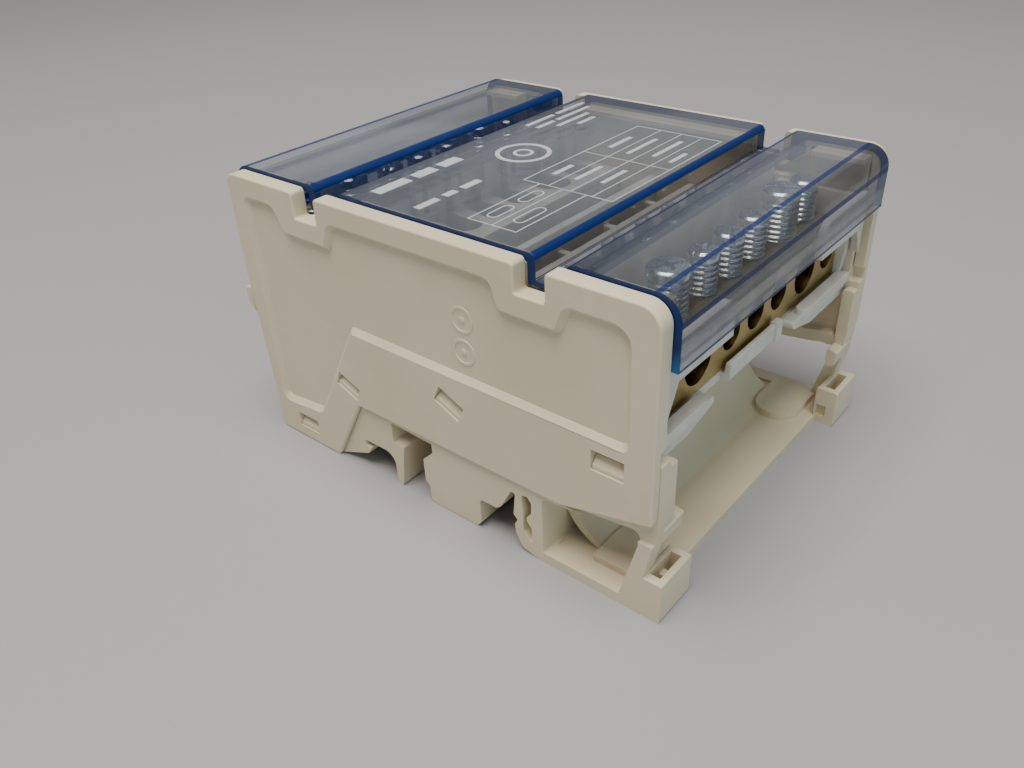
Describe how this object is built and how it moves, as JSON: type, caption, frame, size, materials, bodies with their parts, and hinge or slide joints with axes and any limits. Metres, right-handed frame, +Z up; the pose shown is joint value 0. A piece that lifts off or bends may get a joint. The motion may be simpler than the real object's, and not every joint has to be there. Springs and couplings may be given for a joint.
{
  "type": "din rail terminal block",
  "caption": "Clip-on rail terminal block: stepped brass bars with clamping screws between moulded end cheeks, under clear hinged covers.",
  "frame": {"origin": "centre of the footprint over the end bumps and front feet, on the plane that the feet stand on", "axes": "+Z up away from the rail, +X towards the front wire side, Y along the rail"},
  "size_m": [0.089, 0.0712, 0.0521],
  "materials": {
    "frame_plastic": "fine spark-eroded satin, warm light grey",
    "white_plastic": "natural white, slightly translucent",
    "clear_cover": "clear moulded plastic with a blue tint that gathers at its edges",
    "brass": "drawn and machined brass, slightly dull",
    "zinc_steel": "bright zinc plate"
  },
  "bodies": {
    "housing": {"base_frame": "frame_plastic", "near_cheek": "frame_plastic", "far_cheek": "frame_plastic", "front_carrier": "white_plastic", "rear_carrier": "white_plastic", "front_screw_guide": "white_plastic", "rear_screw_guide": "white_plastic", "centre_partition": "white_plastic", "bar_front_outer": "brass", "bar_front_inner": "brass", "bar_rear_inner": "brass", "bar_rear_outer": "brass"},
    "front_cover": {"front_cover": "clear_cover"},
    "rear_cover": {"rear_cover": "clear_cover"},
    "centre_cover": {"centre_cover": "clear_cover"},
    "screw_front_outer_1": {"screw_front_outer_1": "zinc_steel"},
    "screw_front_outer_2": {"screw_front_outer_2": "zinc_steel"},
    "screw_front_outer_3": {"screw_front_outer_3": "zinc_steel"},
    "screw_front_outer_4": {"screw_front_outer_4": "zinc_steel"},
    "screw_front_outer_5": {"screw_front_outer_5": "zinc_steel"},
    "screw_front_outer_6": {"screw_front_outer_6": "zinc_steel"},
    "screw_front_outer_7": {"screw_front_outer_7": "zinc_steel"},
    "screw_front_inner_1": {"screw_front_inner_1": "zinc_steel"},
    "screw_front_inner_2": {"screw_front_inner_2": "zinc_steel"},
    "screw_front_inner_3": {"screw_front_inner_3": "zinc_steel"},
    "screw_front_inner_4": {"screw_front_inner_4": "zinc_steel"},
    "screw_front_inner_5": {"screw_front_inner_5": "zinc_steel"},
    "screw_front_inner_6": {"screw_front_inner_6": "zinc_steel"},
    "screw_front_inner_7": {"screw_front_inner_7": "zinc_steel"},
    "screw_rear_inner_1": {"screw_rear_inner_1": "zinc_steel"},
    "screw_rear_inner_2": {"screw_rear_inner_2": "zinc_steel"},
    "screw_rear_inner_3": {"screw_rear_inner_3": "zinc_steel"},
    "screw_rear_inner_4": {"screw_rear_inner_4": "zinc_steel"},
    "screw_rear_inner_5": {"screw_rear_inner_5": "zinc_steel"},
    "screw_rear_inner_6": {"screw_rear_inner_6": "zinc_steel"},
    "screw_rear_inner_7": {"screw_rear_inner_7": "zinc_steel"},
    "screw_rear_outer_1": {"screw_rear_outer_1": "zinc_steel"},
    "screw_rear_outer_2": {"screw_rear_outer_2": "zinc_steel"},
    "screw_rear_outer_3": {"screw_rear_outer_3": "zinc_steel"},
    "screw_rear_outer_4": {"screw_rear_outer_4": "zinc_steel"},
    "screw_rear_outer_5": {"screw_rear_outer_5": "zinc_steel"},
    "screw_rear_outer_6": {"screw_rear_outer_6": "zinc_steel"},
    "screw_rear_outer_7": {"screw_rear_outer_7": "zinc_steel"}
  },
  "joints": [
    {"name": "front_cover_hinge", "type": "hinge", "parent": "housing", "child": "front_cover", "pos_m": [0.0282, 0, 0.0492], "axis": [0, -1, 0], "range_deg": [0, 90]},
    {"name": "rear_cover_hinge", "type": "hinge", "parent": "housing", "child": "rear_cover", "pos_m": [-0.0272, 0, 0.0492], "axis": [0, 1, 0], "range_deg": [0, 90]},
    {"name": "centre_cover_lift", "type": "slide", "parent": "housing", "child": "centre_cover", "axis": [0, 0, 1], "range_m": [0, 0.012]},
    {"name": "screw_front_outer_1_drive", "type": "slide", "parent": "housing", "child": "screw_front_outer_1", "axis": [0, 0, 1], "range_m": [-0.0046, 0]},
    {"name": "screw_front_outer_2_drive", "type": "slide", "parent": "housing", "child": "screw_front_outer_2", "axis": [0, 0, 1], "range_m": [-0.0065, 0]},
    {"name": "screw_front_outer_3_drive", "type": "slide", "parent": "housing", "child": "screw_front_outer_3", "axis": [0, 0, 1], "range_m": [-0.0046, 0]},
    {"name": "screw_front_outer_4_drive", "type": "slide", "parent": "housing", "child": "screw_front_outer_4", "axis": [0, 0, 1], "range_m": [-0.0046, 0]},
    {"name": "screw_front_outer_5_drive", "type": "slide", "parent": "housing", "child": "screw_front_outer_5", "axis": [0, 0, 1], "range_m": [-0.0046, 0]},
    {"name": "screw_front_outer_6_drive", "type": "slide", "parent": "housing", "child": "screw_front_outer_6", "axis": [0, 0, 1], "range_m": [-0.0065, 0]},
    {"name": "screw_front_outer_7_drive", "type": "slide", "parent": "housing", "child": "screw_front_outer_7", "axis": [0, 0, 1], "range_m": [-0.0046, 0]},
    {"name": "screw_front_inner_1_drive", "type": "slide", "parent": "housing", "child": "screw_front_inner_1", "axis": [0, 0, 1], "range_m": [-0.0046, 0]},
    {"name": "screw_front_inner_2_drive", "type": "slide", "parent": "housing", "child": "screw_front_inner_2", "axis": [0, 0, 1], "range_m": [-0.0065, 0]},
    {"name": "screw_front_inner_3_drive", "type": "slide", "parent": "housing", "child": "screw_front_inner_3", "axis": [0, 0, 1], "range_m": [-0.0046, 0]},
    {"name": "screw_front_inner_4_drive", "type": "slide", "parent": "housing", "child": "screw_front_inner_4", "axis": [0, 0, 1], "range_m": [-0.0046, 0]},
    {"name": "screw_front_inner_5_drive", "type": "slide", "parent": "housing", "child": "screw_front_inner_5", "axis": [0, 0, 1], "range_m": [-0.0046, 0]},
    {"name": "screw_front_inner_6_drive", "type": "slide", "parent": "housing", "child": "screw_front_inner_6", "axis": [0, 0, 1], "range_m": [-0.0065, 0]},
    {"name": "screw_front_inner_7_drive", "type": "slide", "parent": "housing", "child": "screw_front_inner_7", "axis": [0, 0, 1], "range_m": [-0.0046, 0]},
    {"name": "screw_rear_inner_1_drive", "type": "slide", "parent": "housing", "child": "screw_rear_inner_1", "axis": [0, 0, 1], "range_m": [-0.0046, 0]},
    {"name": "screw_rear_inner_2_drive", "type": "slide", "parent": "housing", "child": "screw_rear_inner_2", "axis": [0, 0, 1], "range_m": [-0.0065, 0]},
    {"name": "screw_rear_inner_3_drive", "type": "slide", "parent": "housing", "child": "screw_rear_inner_3", "axis": [0, 0, 1], "range_m": [-0.0046, 0]},
    {"name": "screw_rear_inner_4_drive", "type": "slide", "parent": "housing", "child": "screw_rear_inner_4", "axis": [0, 0, 1], "range_m": [-0.0046, 0]},
    {"name": "screw_rear_inner_5_drive", "type": "slide", "parent": "housing", "child": "screw_rear_inner_5", "axis": [0, 0, 1], "range_m": [-0.0046, 0]},
    {"name": "screw_rear_inner_6_drive", "type": "slide", "parent": "housing", "child": "screw_rear_inner_6", "axis": [0, 0, 1], "range_m": [-0.0065, 0]},
    {"name": "screw_rear_inner_7_drive", "type": "slide", "parent": "housing", "child": "screw_rear_inner_7", "axis": [0, 0, 1], "range_m": [-0.0046, 0]},
    {"name": "screw_rear_outer_1_drive", "type": "slide", "parent": "housing", "child": "screw_rear_outer_1", "axis": [0, 0, 1], "range_m": [-0.0046, 0]},
    {"name": "screw_rear_outer_2_drive", "type": "slide", "parent": "housing", "child": "screw_rear_outer_2", "axis": [0, 0, 1], "range_m": [-0.0065, 0]},
    {"name": "screw_rear_outer_3_drive", "type": "slide", "parent": "housing", "child": "screw_rear_outer_3", "axis": [0, 0, 1], "range_m": [-0.0046, 0]},
    {"name": "screw_rear_outer_4_drive", "type": "slide", "parent": "housing", "child": "screw_rear_outer_4", "axis": [0, 0, 1], "range_m": [-0.0046, 0]},
    {"name": "screw_rear_outer_5_drive", "type": "slide", "parent": "housing", "child": "screw_rear_outer_5", "axis": [0, 0, 1], "range_m": [-0.0046, 0]},
    {"name": "screw_rear_outer_6_drive", "type": "slide", "parent": "housing", "child": "screw_rear_outer_6", "axis": [0, 0, 1], "range_m": [-0.0065, 0]},
    {"name": "screw_rear_outer_7_drive", "type": "slide", "parent": "housing", "child": "screw_rear_outer_7", "axis": [0, 0, 1], "range_m": [-0.0046, 0]}
  ]
}
